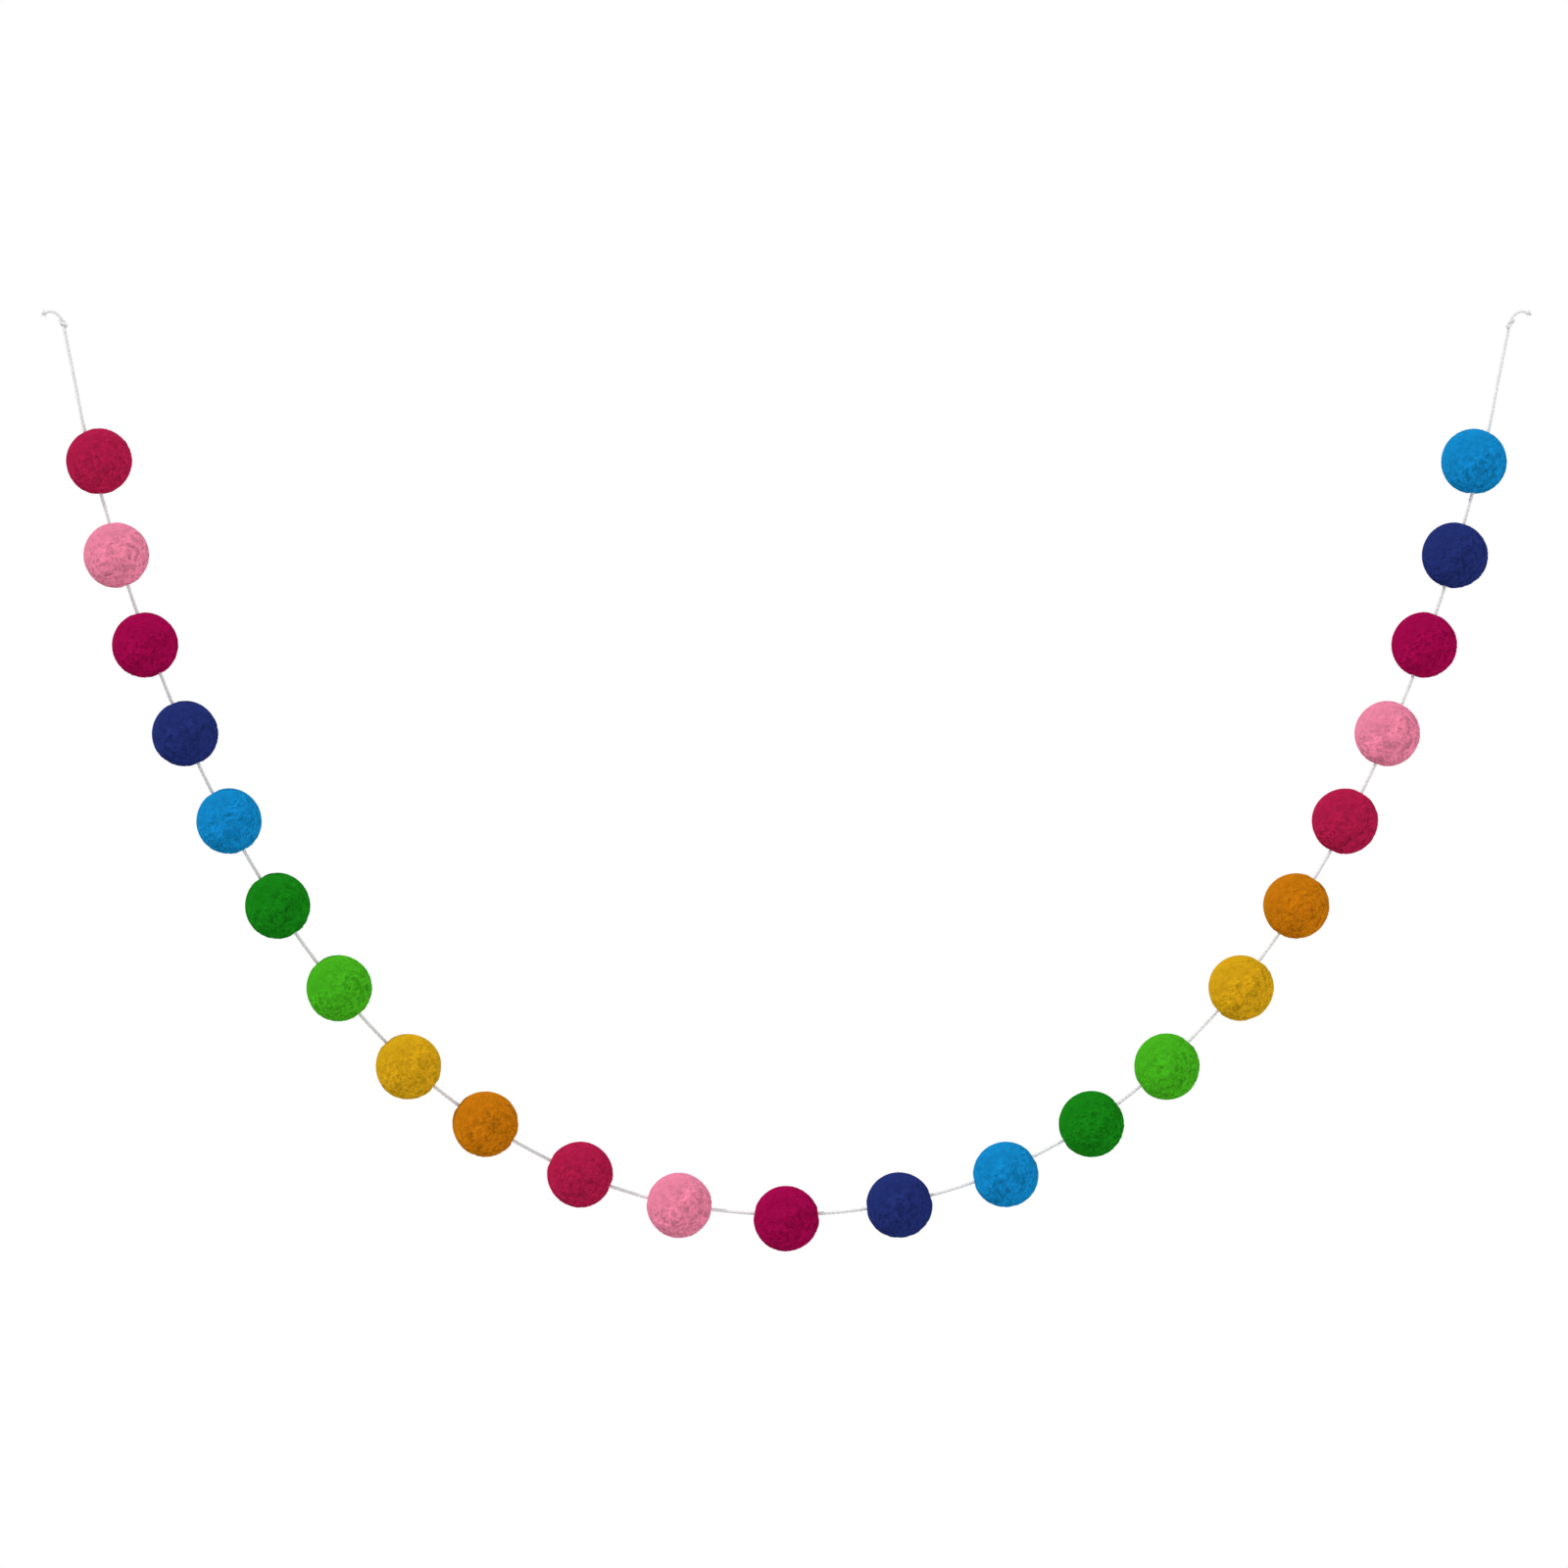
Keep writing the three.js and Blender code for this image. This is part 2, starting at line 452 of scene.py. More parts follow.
def felt_surface_tree():
    """How far a ball's felt reaches from its middle in a direction, and how high it lies and how wrinkled
    it is there, both from 0 to 1."""
    outputs = {"Radius": "NodeSocketFloat", "Felt Height": "NodeSocketFloat", "Rough": "NodeSocketFloat"}
    bench, given, result = new_tree("Felt surface", FELT_SURFACE_INPUTS, outputs)
    direction = given["Direction"]
    number = given["Ball Number"]

    # The same slow swell as the solid ball has
    parts = bench.add("ShaderNodeSeparateXYZ", {"Vector": direction}).outputs
    waves = []
    for axis, pitch, shift in SWELL_WAVES:
        phase = bench.maths("MULTIPLY_ADD", parts[axis], pitch, bench.maths("MULTIPLY", number, shift))
        waves.append(bench.maths("SINE", phase))
    wave = bench.maths("ADD", bench.maths("ADD", waves[0], waves[1]), waves[2])
    uneven = bench.maths("MULTIPLY", wave, bench.maths("DIVIDE", given["Unevenness"], len(waves)))

    # Soft lumps, and worm-like ridges and pits where the wool has matted
    seed = bench.maths("MULTIPLY", number, RELIEF_SEED)

    def relief(kind, place, detail):
        pitch, step = RELIEF[kind]
        return bench.noise(place, pitch, bench.maths("ADD", seed, step), detail)

    lump = bench.maths("SUBTRACT", relief("lump", direction, 1.0), 0.5)
    warped = bench.vectors("ADD", direction, bench.drift(direction, WARP_PITCH, seed, WARP_REACH))
    off_line = bench.maths("ABSOLUTE", bench.maths("SUBTRACT", relief("ridge", warped, 0.0), 0.5))
    wander = bench.maths("SUBTRACT", relief("wander", direction, 1.0), 0.5)
    leaning = bench.vectors("DOT_PRODUCT", direction, ROUGH_SIDE)
    leaning = bench.maths("MULTIPLY_ADD", wander, ROUGH_WANDER, leaning)
    rough = bench.ramp(leaning, -ROUGH_STEP, ROUGH_STEP)
    ridge = bench.maths("MULTIPLY", bench.ramp(off_line, RIDGE_WIDTH, 0.0), rough)
    pit = bench.ramp(relief("pit", warped, 0.0), PIT_EDGE, PIT_FLOOR)

    # The dimple where the string pulls the wool in
    place = bench.vectors("SCALE", direction, bench.maths("MULTIPLY", given["Ball Diameter"], 0.5))
    place = bench.vectors("ADD", given["Middle"], place)
    distance = string_distance(bench, given["Route"], place)[1]
    dimple = bench.ramp(distance, given["Dimple Width"], 0.0)

    radius = bench.maths("MULTIPLY_ADD", given["Ball Diameter"], 0.5, uneven)
    radius = bench.maths("MULTIPLY_ADD", lump, bench.maths("MULTIPLY", given["Swell Depth"], 2.0), radius)
    radius = bench.maths("MULTIPLY_ADD", ridge, given["Ridge Height"], radius)
    radius = bench.maths("SUBTRACT", radius, bench.maths("MULTIPLY", pit, given["Pit Depth"]))
    radius = bench.maths("SUBTRACT", radius, bench.maths("MULTIPLY", dimple, given["Dimple Depth"]))
    height = bench.maths("MULTIPLY_ADD", bench.maths("SUBTRACT", ridge, pit), 0.5, 0.5)
    bench.feed(result["Radius"], radius)
    bench.feed(result["Felt Height"], height)
    bench.feed(result["Rough"], rough)
    return bench


def felted_ball_tree(surface):
    """A felted ball with its needle hole, the strands matted into its surface and its loose hairs."""
    inputs = {
        "Middle": Vector((0, 0, 0)),
        "Ball Number": 1.0,
        "String": "NodeSocketObject",
        "Felt": "NodeSocketMaterial",
        "Seed": 1,
        **FELT_SIZES,
        **FIBRE_SIZES,
    }
    bench, given, result = new_tree("Felted ball", inputs, {"Geometry": "NodeSocketGeometry"})
    middle = given["Middle"]
    seed = given["Seed"]
    route = bench.get("GeometryNodeObjectInfo", {"Object": given["String"]}, "Geometry")

    # Only the string's run near this ball is needed
    reach = bench.maths("MULTIPLY", given["Ball Diameter"], ROUTE_REACH)
    far = bench.above(bench.vectors("DISTANCE", position(bench), middle), reach)
    route = bench.get("GeometryNodeDeleteGeometry", {"Geometry": route, "Selection": far}, domain="POINT")

    def felt_towards(direction):
        shared = {name: given[name] for name in ("Middle", "Ball Number", *FELT_SIZES)}
        group_inputs = {"Direction": direction, "Route": route, **shared}
        return bench.add("GeometryNodeGroup", group_inputs, node_tree=surface.tree).outputs

    def outwards():
        return bench.vectors("NORMALIZE", bench.vectors("SUBTRACT", position(bench), middle))

    # The ball
    inputs = {"Radius": 1.0, "Subdivisions": BALL_SUBDIVISIONS}
    sphere = bench.get("GeometryNodeMeshIcoSphere", inputs, "Mesh")
    direction = bench.vectors("NORMALIZE", position(bench))
    felt = felt_towards(direction)
    place = bench.vectors("ADD", middle, bench.vectors("SCALE", direction, felt["Radius"]))
    ball = moved(bench, sphere, place)

    # The needle hole
    inputs = {"Resolution": HOLE_SIDES, "Radius": bench.maths("MULTIPLY", given["Needle Hole"], 0.5)}
    section = bench.get("GeometryNodeCurvePrimitiveCircle", inputs, "Curve")
    line = bench.get("GeometryNodeMeshToCurve", {"Mesh": route})
    inputs = {"Curve": line, "Profile Curve": section, "Fill Caps": True}
    needle = bench.get("GeometryNodeCurveToMesh", inputs)
    inputs = {"Mesh 1": ball, "Mesh 2": needle}
    threaded = bench.get("GeometryNodeMeshBoolean", inputs, operation="DIFFERENCE", solver="MANIFOLD")
    threaded = bench.store(threaded, "felt_height", felt_towards(outwards())["Felt Height"])
    threaded = bench.store(threaded, "fibre_tone", EVEN_TONE)

    # Locks and strands matted into the surface, which pass round the string
    seed_shift = bench.maths("MULTIPLY", given["Ball Number"], BEND_SEED)
    nearness = tip_nearness(bench, both_tips=True)

    def matted(kind, chosen, seed_step, steps, sides):
        thickness = given[kind + " Thickness"]
        own_seed = bench.maths("ADD", seed, seed_step)
        lines = strewn_fibres(bench, given, kind, ball, chosen, own_seed, -0.5, steps, (0.0, 0.0))
        straight = outwards()
        bend = bench.drift(straight, BEND_PITCH, seed_shift, BEND_REACH)
        bent = bench.vectors("NORMALIZE", bench.vectors("ADD", straight, bend))
        own_size = bench.stored("fibre_size")
        own_size = bench.maths("MULTIPLY", own_size, own_size)
        half = bench.maths("MULTIPLY", fibre_thickness(bench, thickness, nearness), own_size)
        standing = bench.maths("DIVIDE", given[kind + " Height"], bench.maths("MULTIPLY", thickness, 0.5))
        lift = bench.maths("MULTIPLY", half, bench.maths("SUBTRACT", standing, 1.0))
        lift = bench.maths("MULTIPLY_ADD", nearness, -TIP_SINK, lift)
        place = bench.vectors("SCALE", bent, bench.maths("ADD", felt_towards(bent)["Radius"], lift))
        place = bench.vectors("ADD", middle, place)
        nearest, distance = string_distance(bench, route, place)
        aside = bench.vectors("NORMALIZE", bench.vectors("SUBTRACT", place, nearest))
        room = bench.maths("MULTIPLY_ADD", given["Needle Hole"], 0.5, half)
        push = bench.maths("MAXIMUM", bench.maths("SUBTRACT", room, distance), 0.0)
        place = bench.vectors("ADD", place, bench.vectors("SCALE", aside, push))
        lines = bench.store(moved(bench, lines, place), "felt_height", MATTED_HEIGHT)
        return fibre_mesh(bench, lines, half, sides)

    rough = bench.above(felt_towards(outwards())["Rough"], LOCKS_FROM_ROUGH)
    locks = matted("Lock", rough, 0, LOCK_STEPS, LOCK_SIDES)
    strands = matted("Strand", True, STRAND_SEED_STEP, STRAND_STEPS, STRAND_SIDES)

    # Loose hairs
    own_seed = bench.maths("ADD", seed, HAIR_SEED_STEP)
    hairs = strewn_fibres(bench, given, "Hair", ball, True, own_seed, 0.0, HAIR_STEPS, WOOL_HAIR_LEAN)
    hairs = curled(bench, hairs, seed_shift, **WOOL_HAIR_CURL)
    hairs = bench.store(hairs, "felt_height", HAIR_HEIGHT)
    half = fibre_thickness(bench, given["Hair Thickness"], tip_nearness(bench, both_tips=False))
    hairs = fibre_mesh(bench, hairs, half)

    join = bench.add("GeometryNodeJoinGeometry")
    for part in (hairs, strands, locks, threaded):
        bench.feed(join.inputs["Geometry"], part)
    whole = bench.get("GeometryNodeRealizeInstances", {"Geometry": join.outputs["Geometry"]})
    whole = bench.store(whole, "rough", felt_towards(outwards())["Rough"])
    wall = bench.maths("MULTIPLY", given["Needle Hole"], HOLE_WALL)
    smooth = bench.above(string_distance(bench, route, position(bench))[1], wall)
    whole = bench.get("GeometryNodeSetShadeSmooth", {"Geometry": whole, "Shade Smooth": smooth})
    whole = bench.get("GeometryNodeSetMaterial", {"Geometry": whole, "Material": given["Felt"]})
    bench.feed(result["Geometry"], whole)
    return bench


# String
def twisted_string_tree():
    """A string of twisted plies along a line of points, with the short hairs of spun cotton."""
    inputs = {
        "Line": "NodeSocketGeometry",
        "Cotton": "NodeSocketMaterial",
        "Seed": 1,
        **STRING_SIZES,
    }
    bench, given, result = new_tree("Twisted string", inputs, {"Geometry": "NodeSocketGeometry"})

    # The section has a lobe for each ply
    half = bench.maths("MULTIPLY", given["String Diameter"], 0.5)
    inputs = {"Resolution": SIDES_A_PLY * PLIES, "Radius": half}
    section = bench.get("GeometryNodeCurvePrimitiveCircle", inputs, "Curve")
    factor = bench.get("GeometryNodeSplineParameter", output="Factor")
    lobe = bench.maths("ABSOLUTE", bench.maths("COSINE", bench.maths("MULTIPLY", factor, math.pi * PLIES)))
    hollow = bench.maths("MULTIPLY", bench.maths("SUBTRACT", 1.0, lobe), given["Groove Depth"])
    section = bench.store(section, "around", position(bench), kind="FLOAT_VECTOR")
    full = bench.maths("SUBTRACT", 1.0, hollow)
    section = moved(bench, section, bench.vectors("SCALE", position(bench), full))

    line = bench.get("GeometryNodeMeshToCurve", {"Mesh": given["Line"]})
    line = bench.store(line, "along", bench.get("GeometryNodeSplineParameter", output="Length"))
    inputs = {"Curve": line, "Normal": bench.stored("ply_side", "FLOAT_VECTOR")}
    line = bench.get("GeometryNodeSetCurveNormal", inputs, mode="FREE")
    slub = bench.maths("SUBTRACT", bench.noise(position(bench), SLUB_PITCH, 0.0), 0.5)
    spread = bench.maths("MULTIPLY", given["Slub"], SLUB_SPREAD)
    thick = bench.maths("MULTIPLY_ADD", slub, spread, bench.stored("thickness"))
    inputs = {"Curve": line, "Profile Curve": section, "Scale": thick, "Fill Caps": True}
    string = bench.get("GeometryNodeCurveToMesh", inputs)
    string = bench.store(string, "fibre_tone", EVEN_TONE)
    along = bench.get("ShaderNodeCombineXYZ", {"Z": bench.stored("along")})
    spun = bench.vectors("ADD", bench.stored("around", "FLOAT_VECTOR"), along)
    string = bench.store(string, "spun", spun, kind="FLOAT_VECTOR")

    # Hairs where the string shows, and a frayed tip where it is cut
    def cotton_hairs(kind, mark, seed_step, lean):
        chosen = bench.above(bench.stored(mark), MARKED)
        own_seed = bench.maths("ADD", given["Seed"], seed_step)
        hairs = strewn_fibres(bench, given, kind, string, chosen, own_seed, 0.0, HAIR_STEPS, lean)
        hairs = curled(bench, hairs, COTTON_CURL_SEED, **COTTON_HAIR_CURL)
        half = fibre_thickness(bench, given[kind + " Thickness"], tip_nearness(bench, both_tips=False))
        return fibre_mesh(bench, hairs, half)

    hairs = cotton_hairs("Hair", "shown", 0, COTTON_HAIR_LEAN)
    fray = cotton_hairs("Fray", "frayed", FRAY_SEED_STEP, COTTON_FRAY_LEAN)
    join = bench.add("GeometryNodeJoinGeometry")
    for part in (hairs, fray, string):
        bench.feed(join.inputs["Geometry"], part)
    whole = bench.get("GeometryNodeRealizeInstances", {"Geometry": join.outputs["Geometry"]})

    # The cut ends stay flat: they are the only faces with more than four corners
    corners = bench.get("GeometryNodeInputMeshFaceNeighbors", output="Vertex Count")
    inputs = {"A": corners, "B": 5}
    smooth = bench.get("FunctionNodeCompare", inputs, data_type="INT", operation="LESS_THAN")
    whole = bench.get("GeometryNodeSetShadeSmooth", {"Geometry": whole, "Shade Smooth": smooth})
    whole = bench.get("GeometryNodeSetMaterial", {"Geometry": whole, "Material": given["Cotton"]})
    bench.feed(result["Geometry"], whole)
    return bench


def smooth_route(points, samples=SAMPLES_A_SPAN):
    """A smooth line through a route's points: a centripetal Catmull-Rom curve, closely sampled."""
    points = [points[0] * 2 - points[1], *points, points[-1] * 2 - points[-2]]
    line = []
    for before, start, end, after in zip(points, points[1:], points[2:], points[3:]):
        pairs = ((before, start), (start, end), (end, after))
        first, gap, last = [math.sqrt((b - a).length) for a, b in pairs]
        slope_in = (start - before) / first - (end - before) / (first + gap) + (end - start) / gap
        slope_out = (end - start) / gap - (after - start) / (gap + last) + (after - end) / last
        slope_in *= gap
        slope_out *= gap
        for step in range(samples):
            t = step / samples
            cubic = start * (2 * t**3 - 3 * t**2 + 1) + end * (3 * t**2 - 2 * t**3)
            line.append(cubic + slope_in * (t**3 - 2 * t**2 + t) + slope_out * (t**3 - t**2))
    line.append(points[-2])
    return line


class Ring:
    """One ring of the string: its place, the side on which its first ply lies, its thickness as a share of
    the whole string's, and whether it shows, 1.0 or 0.0."""

    def __init__(self, place, ply_side, thickness=1.0, shown=1.0):
        self.place = place
        self.ply_side = ply_side
        self.thickness = thickness
        self.shown = shown


def string_rings(line, thickness, ply_side, shown_step, middles=()):
    """Thins a line out to the string's rings: close together where it shows, far apart inside a ball. The
    plies go on from ply_side and turn round the line by one turn a lay."""
    rings = [Ring(line[0], ply_side, thickness[0])]
    since = 0.0
    for before, here, thick in zip(line, line[1:], thickness[1:]):
        step = here - before
        since += step.length
        hidden = any((here - middle).length < HIDDEN_WITHIN for middle in middles)
        tangent = step.normalized()
        ply_side = (ply_side - tangent * ply_side.dot(tangent)).normalized()
        if not hidden:
            ply_side.rotate(Quaternion(tangent, math.tau * step.length / PLY_LAY))
        if since >= (HIDDEN_STEP if hidden else shown_step):
            rings.append(Ring(here, ply_side.copy(), thick, 0.0 if hidden else 1.0))
            since = 0.0
    if since < shown_step / 2:
        rings.pop()
    rings.append(Ring(line[-1], ply_side.copy(), thickness[-1]))
    return rings


def line_mesh(name, rings, frayed_tip=None):
    """The rings joined by edges, with their values for the string tree to read."""
    mesh = bpy.data.meshes.new(name)
    mesh.from_pydata([ring.place for ring in rings], [(i, i + 1) for i in range(len(rings) - 1)], [])
    values = {
        "shown": [ring.shown for ring in rings],
        "thickness": [ring.thickness for ring in rings],
        "frayed": [1.0 if ring is frayed_tip else 0.0 for ring in rings],
    }
    for label, numbers in values.items():
        mesh.attributes.new(label, "FLOAT", "POINT").data.foreach_set("value", numbers)
    sides = [part for ring in rings for part in ring.ply_side]
    mesh.attributes.new("ply_side", "FLOAT_VECTOR", "POINT").data.foreach_set("vector", sides)
    return mesh


# Materials
def linear(colour):
    """An sRGB colour as the shader's own linear values."""
    shares = [channel / 255 for channel in colour]
    return [s / 12.92 if s <= 0.04045 else ((s + 0.055) / 1.055) ** 2.4 for s in shares] + [1.0]


def toned(colour, gain):
    """A linear colour made brighter or darker."""
    return [min(1.0, channel * gain) for channel in colour[:3]] + [1.0]


def fine_lines(bench, place, scale, seed, width, turn=(0.0, 0.0, 0.0), stretch=1.0):
    """Thin wandering lines, 1 along the middle of a line and 0 between lines, drawn out along one way."""
    inputs = {"Vector": place, "Rotation": turn, "Scale": (1.0, 1.0, stretch)}
    drawn = bench.get("ShaderNodeMapping", inputs, vector_type="TEXTURE")
    field = bench.noise(drawn, scale, seed, detail=0.0)
    return bench.ramp(bench.maths("ABSOLUTE", bench.maths("SUBTRACT", field, 0.5)), width, 0.0)


def off_middle(bench, name):
    """How far a value that is stored on the mesh, from 0 to 1, lies above or below its middle."""
    node = bench.add("ShaderNodeAttribute", attribute_name=name)
    return bench.maths("SUBTRACT", node.outputs["Fac"], 0.5)


def set_finish(shader, values):
    """Sets these inputs of a shader to constant values."""
    for name, value in values.items():
        shader.inputs[name].default_value = value


# Matted wool: how closely each kind of mark is spaced over a metre, and its own seed
WOOL_NOISE = {
    "wander": (330.0, 0.0),
    "curl": (1300.0, 5.0),
    "stroke": (480.0, 1.0),
    "hair": (3600.0, 4.0),
    "patch": (380.0, 9.0),
    "wrinkle": (450.0, 12.0),
    "cloud": (240.0, 3.0),
}
FIBRE_TURNS = [(0.3, 0.2, 0.0), (1.7, 0.4, 0.5), (0.4, 1.8, 0.9)]
WANDER_REACH = 0.0011
CURL_REACH = 0.00045
STROKE_WIDTH = 0.17
STROKE_STRETCH = 2.6
STROKE_HEIGHT = 0.00032
WOOL_WIDTH = 0.14
WOOL_STRETCH = 5.0
WOOL_HEIGHT = 0.00005
PATCH_FROM = 0.36
PATCH_TO = 0.52
WRINKLE_HEIGHT = 0.0026
WRINKLE_MIDDLE = 0.625
WRINKLE_SWING = 0.75
FELT_DEEPEST = 0.70
FELT_LIGHTEST = 1.30
FELT_TONE = 0.30
TONE_OF_CLOUD = 0.12
# The wrinkles' own field painted into the colour: painted shade in their creases, painted light on their
# crests
WRINKLE_PAINTED_SHADING = 1.10
# A painted highlight on the raised strokes
STROKE_PAINTED_HIGHLIGHT = 0.55
TONE_OF_WOOL = 0.18
# Painted shade in pits, and painted light on ridges and on the strands and hairs that lie higher
HEIGHT_PAINTED_SHADING = 0.25
TONE_OF_FIBRE = 0.28
FELT_FINISH = {
    "Roughness": 0.93,
    "Diffuse Roughness": 0.75,
    "Specular IOR Level": 0.0,
    "Sheen Weight": 0.03,
    "Sheen Roughness": 0.5,
}


def felt_material(name, colour):
    """Dull matted wool: wrinkled where it is rough, with strokes and hairs a little lighter or deeper.
    Shade is painted into its creases and pits, and light onto its crests, strokes and raised fibres.
    """
    material = bpy.data.materials.new(name)
    material.use_nodes = True
    bench = Bench(material.node_tree)
    shader = material.node_tree.nodes["Principled BSDF"]
    place = bench.get("ShaderNodeTexCoord", output="Object")
    wandering = bench.vectors("ADD", place, bench.drift(place, *WOOL_NOISE["wander"], WANDER_REACH))
    curly = bench.vectors("ADD", place, bench.drift(place, *WOOL_NOISE["curl"], CURL_REACH))

    def crossed_lines(bent_place, kind, width, stretch):
        """Fine lines that lie across each other, one set for each turn."""
        pitch, seed = WOOL_NOISE[kind]
        crossed = 0.0
        for index, turn in enumerate(FIBRE_TURNS):
            lines = fine_lines(bench, bent_place, pitch, seed + index, width, turn, stretch)
            crossed = bench.maths("MAXIMUM", crossed, lines)
        return crossed

    # Strokes: raised by the bump, and made lighter in the colour as a painted highlight
    strokes = crossed_lines(wandering, "stroke", STROKE_WIDTH, STROKE_STRETCH)
    wool = crossed_lines(curly, "hair", WOOL_WIDTH, WOOL_STRETCH)
    patch = bench.ramp(bench.noise(place, *WOOL_NOISE["patch"]), PATCH_FROM, PATCH_TO)
    strokes = bench.maths("MULTIPLY", strokes, patch)
    # How rough the felt is here, rougher at the lower right. It scales the wrinkles' and strokes' relief,
    # and with it their painted shade and highlights
    wrinkled = bench.maths("MULTIPLY_ADD", off_middle(bench, "rough"), WRINKLE_SWING, WRINKLE_MIDDLE)
    wrinkles = bench.maths("SUBTRACT", bench.noise(wandering, *WOOL_NOISE["wrinkle"]), 0.5)
    wrinkles = bench.maths("MULTIPLY", wrinkles, wrinkled)
    strokes = bench.maths("MULTIPLY", strokes, wrinkled)
    cloud = bench.maths("SUBTRACT", bench.noise(place, *WOOL_NOISE["cloud"], detail=2.0), 0.5)

    tone = FELT_TONE
    for share, weight in (
        (cloud, TONE_OF_CLOUD),
        # Painted shade in the creases, painted light on the crests
        (wrinkles, WRINKLE_PAINTED_SHADING),
        # Painted highlight on the strokes
        (strokes, STROKE_PAINTED_HIGHLIGHT),
        (wool, TONE_OF_WOOL),
        # Painted shade where the felt lies low, painted light where it lies high
        (off_middle(bench, "felt_height"), HEIGHT_PAINTED_SHADING),
        (off_middle(bench, "fibre_tone"), TONE_OF_FIBRE),
    ):
        tone = bench.maths("MULTIPLY_ADD", share, weight, tone)
    inputs = {"Factor": tone, "A": toned(colour, FELT_DEEPEST), "B": toned(colour, FELT_LIGHTEST)}
    mixed = bench.get("ShaderNodeMix", inputs, data_type="RGBA")
    bench.feed(shader.inputs["Base Color"], mixed)

    relief = bench.maths("MULTIPLY", wrinkles, WRINKLE_HEIGHT)
    relief = bench.maths("MULTIPLY_ADD", strokes, STROKE_HEIGHT, relief)
    relief = bench.maths("MULTIPLY_ADD", wool, WOOL_HEIGHT, relief)
    bench.feed(shader.inputs["Normal"], bench.get("ShaderNodeBump", {"Height": relief, "Distance": 1.0}))
    set_finish(shader, {**FELT_FINISH, "Sheen Tint": toned(colour, FELT_LIGHTEST)})
    return material


# Spun cotton, with how closely each kind of mark is spaced over a metre, and its own seed
SPUN_FIBRES = (7000.0, 1.0)
SPUN_CLOUD = (420.0, 3.0)
SPUN_WIDTH = 0.16
SPUN_STRETCH = 8.0
SPUN_HEIGHT = 0.00006
SPUN_STRENGTH = 0.6
COTTON_DEEPEST = 0.88
COTTON_LIGHTEST = 1.06
COTTON_TONE_OF_FIBRES = 0.35
COTTON_TONE_OF_CLOUD = 0.7
COTTON_TONE_OF_HAIR = 0.3
COTTON_ROUGHEST = 0.95
COTTON_SMOOTHEST = 0.8
COTTON_FINISH = {
    "Diffuse Roughness": 0.8,
    "Specular IOR Level": 0.15,
    "Sheen Weight": 0.1,
}


def cotton_material(name, colour):
    """Spun cotton: fine fibres drawn out along the plies."""
    material = bpy.data.materials.new(name)
    material.use_nodes = True
    bench = Bench(material.node_tree)
    shader = material.node_tree.nodes["Principled BSDF"]
    spun = bench.add("ShaderNodeAttribute", attribute_name="spun").outputs["Vector"]
    fibres = fine_lines(bench, spun, *SPUN_FIBRES, SPUN_WIDTH, stretch=SPUN_STRETCH)
    cloud = bench.noise(spun, *SPUN_CLOUD, detail=2.0)
    tone = bench.maths("MULTIPLY", cloud, COTTON_TONE_OF_CLOUD)
    tone = bench.maths("MULTIPLY_ADD", fibres, COTTON_TONE_OF_FIBRES, tone)
    tone = bench.maths("MULTIPLY_ADD", off_middle(bench, "fibre_tone"), COTTON_TONE_OF_HAIR, tone)
    inputs = {"Factor": tone, "A": toned(colour, COTTON_DEEPEST), "B": toned(colour, COTTON_LIGHTEST)}
    mixed = bench.get("ShaderNodeMix", inputs, data_type="RGBA")
    bench.feed(shader.inputs["Base Color"], mixed)
    inputs = {"Height": fibres, "Distance": SPUN_HEIGHT, "Strength": SPUN_STRENGTH}
    bench.feed(shader.inputs["Normal"], bench.get("ShaderNodeBump", inputs))
    inputs = {"Value": fibres, "To Min": COTTON_ROUGHEST, "To Max": COTTON_SMOOTHEST}
    bench.feed(shader.inputs["Roughness"], bench.get("ShaderNodeMapRange", inputs))
    set_finish(shader, COTTON_FINISH)
    return material


cotton = cotton_material("spun_cotton", linear(STRING_COLOUR))

# The string, in one length from knot to knot
ball_nodes = ["felt_ball_%02d" % (index + 1) for index in range(BALL_COUNT)]
ball_middles = [sum(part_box(node), Vector()) / 2 for node in ball_nodes]
route_line = smooth_route([Vector((x, 0.0, z)) for x, z in ROUTE])
string_tree = twisted_string_tree()


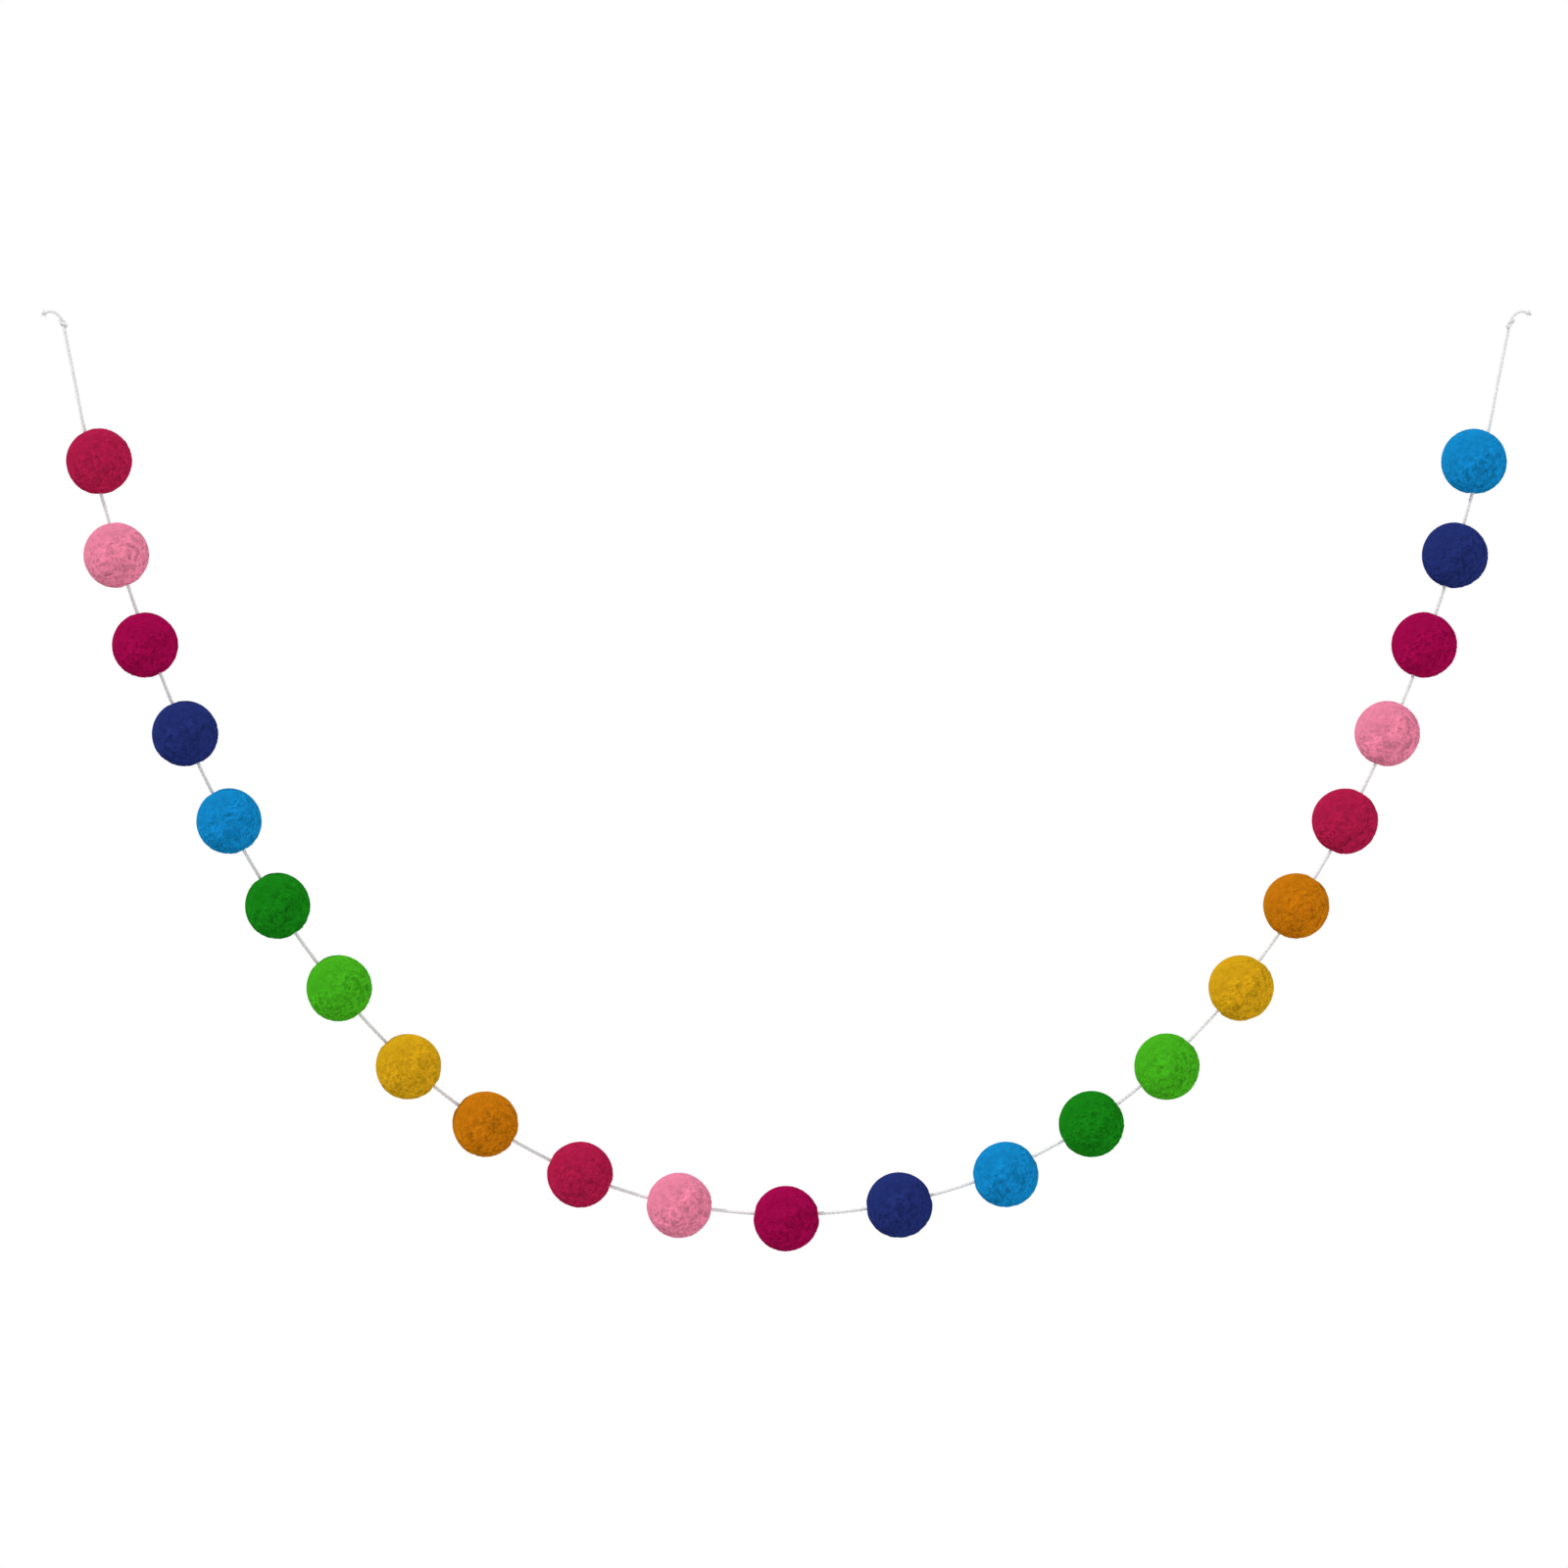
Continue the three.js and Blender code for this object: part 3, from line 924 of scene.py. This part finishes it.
def tight_overhand_knot():
    """The line of a strand that is tied in a loose overhand knot along Z and then pulled tight. The loose
    knot is the well-known one in powers: t^3 - 3t, t^4 - 4t^2 and t^5 - 10t."""
    t = np.linspace(-KNOT_SLACK, KNOT_SLACK, KNOT_LOOSE_POINTS)
    across, deep, along = KNOT_SHAPE
    loose = [across * (t**3 - 3 * t), deep * (t**4 - 4 * t**2) + KNOT_RISE, along * (t**5 - 10 * t)]
    line = np.stack(loose, axis=1)
    run = np.concatenate([[0.0], np.cumsum(np.linalg.norm(np.diff(line, axis=0), axis=1))])
    even = np.linspace(0.0, run[-1], KNOT_LINKS)
    line = np.stack([np.interp(even, run, part) for part in line.T], axis=1)
    link = even[1]
    ends = line[[0, -1]].copy()
    pulled = np.array([[0.0, 0.0, -KNOT_SPAN / 2], [0.0, 0.0, KNOT_SPAN / 2]])
    steps_apart = np.abs(np.subtract.outer(np.arange(KNOT_LINKS), np.arange(KNOT_LINKS)))
    for pull in range(KNOT_PULL_ROUNDS):
        share = min(1.0, pull / KNOT_LEAD_ROUNDS)
        line[1:-1] += KNOT_EASE * ((line[:-2] + line[2:]) / 2 - line[1:-1])
        gaps = line[:, None] - line[None]
        distance = np.linalg.norm(gaps, axis=2)
        touching = (distance < 1.0) & (steps_apart * link > KNOT_SAME_RUN)
        squeeze = np.where(touching, 1.0 - distance, 0.0)
        push = (gaps * (squeeze / np.maximum(distance, 1e-9))[:, :, None]).sum(axis=1)
        line += KNOT_PUSH * np.clip(push, -KNOT_MOST_PUSH, KNOT_MOST_PUSH)
        for _ in range(KNOT_LINK_ROUNDS):
            line[[0, -1]] = ends * (1 - share) + pulled * share
            steps = np.diff(line, axis=0)
            long = np.linalg.norm(steps, axis=1)
            give = KNOT_EASE * steps * (1 - link / long)[:, None]
            line[:-1] += give
            line[1:] -= give
        if squeeze.max() < KNOT_SQUEEZE:
            link *= KNOT_SHORTEN
    return line


def knotted_end(end, inner, side, knot_line):
    """A string end, from its neck through an overhand knot to the tip of a short cut tail that flops over,
    and the string's thickness along it. It is laid out upright and then put in line with the string."""
    tied = [Vector(place) * KNOT_STRAND for place in knot_line]
    tied = [place for place in tied if abs(place.z) < KNOT_ENTRY]
    off_axis = Vector((tied[0].x, tied[0].y, 0.0))
    neck = [Vector((0.0, 0.0, -KNOT_REACH)), Vector((0.0, 0.0, -(KNOT_REACH + KNOT_ENTRY) / 2))]
    tail = [Vector((out, 0.0, up)) for out, up in KNOT_TAIL]
    line = smooth_route([*neck, *[place - off_axis for place in tied], *tail], KNOT_SAMPLES)
    slim = KNOT_STRAND / STRING_DIAMETER
    swell = [min(1.0, max(0.0, abs(place.z) - KNOT_ENTRY) / (KNOT_REACH - KNOT_ENTRY)) for place in line]
    thickness = [slim + (1.0 - slim) * share for share in swell]
    inwards = (inner - end).normalized()
    turned = Vector((0, 0, -1)).rotation_difference(inwards).to_matrix().to_4x4()
    settled = Matrix.Translation(end - inwards * KNOT_REACH) @ turned
    return [settled @ Vector((side * place.x, side * place.y, place.z)) for place in line], thickness


# The three pieces share a ring at each neck, so that the plies run on from one into the next
knot_line = tight_overhand_knot()
left_line, left_thickness = knotted_end(route_line[0], route_line[1], -1, knot_line)
right_line, right_thickness = knotted_end(route_line[-1], route_line[-2], 1, knot_line)
left_rings = string_rings(left_line[::-1], left_thickness[::-1], Vector((0.0, 1.0, 0.0)), KNOT_STEP)
rings = string_rings(route_line, [1.0] * len(route_line), left_rings[-1].ply_side, SHOWN_STEP, ball_middles)
right_rings = string_rings(right_line, right_thickness, rings[-1].ply_side, KNOT_STEP)

cotton_pieces = []
for name, node, piece_rings, tip in (
    ("left_end_knot", "knot_left", left_rings, left_rings[0]),
    ("right_end_knot", "knot_right", right_rings, right_rings[-1]),
    ("twisted_string", "string", rings, None),
):
    values = {**STRING_SIZES, "Seed": FIRST_COTTON_SEED + len(cotton_pieces), "Cotton": cotton}
    piece = grown_piece(name, string_tree, values, line_mesh(name, piece_rings, tip))
    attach(piece, "root")
    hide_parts(node)
    cotton_pieces.append(piece)

# The balls
route_guide = bpy.data.objects.new("route_guide", line_mesh("route_guide", rings))
scene.collection.objects.link(route_guide)
ball_tree = felted_ball_tree(felt_surface_tree())
felts = [(name, felt_material(name + "_wool", linear(colour))) for name, colour in FELT_COLOURS.items()]
for index, (node, middle) in enumerate(zip(ball_nodes, ball_middles)):
    colour_name, felt = felts[index % len(felts)]
    number = index + 1
    values = {
        **FELT_SIZES,
        **FIBRE_SIZES,
        "Middle": middle,
        "Ball Number": float(number),
        "String": route_guide,
        "Felt": felt,
        "Seed": BALL_SEED_STEP * number,
    }
    name = "%s_ball_%02d" % (colour_name, number)
    ball = grown_piece(name, ball_tree, values, bpy.data.meshes.new(name + "_start"))
    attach(ball, "root")
    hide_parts(node)
bpy.data.objects.remove(route_guide)


# Light: a sun from the upper left, more from the side than from the front, and a soft surround that is
# brighter at the lower right
SUN_SIDE = Vector((-0.66, -0.34, 0.66)).normalized()
SUN_STRENGTH = 2.20
SUN_SPREAD = 7
SURROUND = 0.825
SURROUND_SIDE = Vector((0.92, 0.0, -0.38)).normalized()
SURROUND_SWING = 0.40
FLOOR_HEIGHT = -0.60
FLOOR_RADIUS = 1.1
FLOOR_CORNERS = 96
FLOOR_COLOUR = (0.93, 0.93, 0.93, 1.0)
FLOOR_ROUGHNESS = 0.9
WHITE = (1.0, 1.0, 1.0, 1.0)

sun_data = bpy.data.lights.new("sun", "SUN")
sun_data.energy = SUN_STRENGTH
sun_data.angle = math.radians(SUN_SPREAD)
sun = bpy.data.objects.new("sun", sun_data)
sun.rotation_mode = "QUATERNION"
sun.rotation_quaternion = (-SUN_SIDE).to_track_quat("-Z", "Y")
scene.collection.objects.link(sun)

world = bpy.data.worlds.new("surround")
world.use_nodes = True
world.node_tree.nodes.clear()
bench = Bench(world.node_tree)
seen = bench.get("ShaderNodeLightPath", output="Is Camera Ray")
towards = bench.get("ShaderNodeTexCoord", output="Generated")
facing = bench.vectors("DOT_PRODUCT", towards, SURROUND_SIDE)
strength = bench.maths("MULTIPLY_ADD", facing, SURROUND_SWING, SURROUND)
fill = bench.get("ShaderNodeBackground", {"Color": WHITE, "Strength": strength})
backdrop = bench.get("ShaderNodeBackground", {"Color": WHITE, "Strength": 1.0})
either = bench.add("ShaderNodeMixShader")
for socket, value in zip(either.inputs, (seen, fill, backdrop)):
    bench.feed(socket, value)
output = bench.add("ShaderNodeOutputWorld")
bench.feed(output.inputs["Surface"], either.outputs[0])
scene.world = world
scene.view_settings.view_transform = "Standard"

floor_material = bpy.data.materials.new("pale_floor")
floor_material.use_nodes = True
floor_shader = floor_material.node_tree.nodes["Principled BSDF"]
set_finish(floor_shader, {"Base Color": FLOOR_COLOUR, "Roughness": FLOOR_ROUGHNESS})
bpy.ops.mesh.primitive_circle_add(vertices=FLOOR_CORNERS, radius=FLOOR_RADIUS, fill_type="NGON")
floor = bpy.context.object
floor.name = "floor"
floor.data.transform(Matrix.Translation((FRAME_MIDDLE.x, 0.0, FLOOR_HEIGHT)))
floor.data.materials.append(floor_material)
floor.visible_diffuse = False
floor.visible_glossy = False
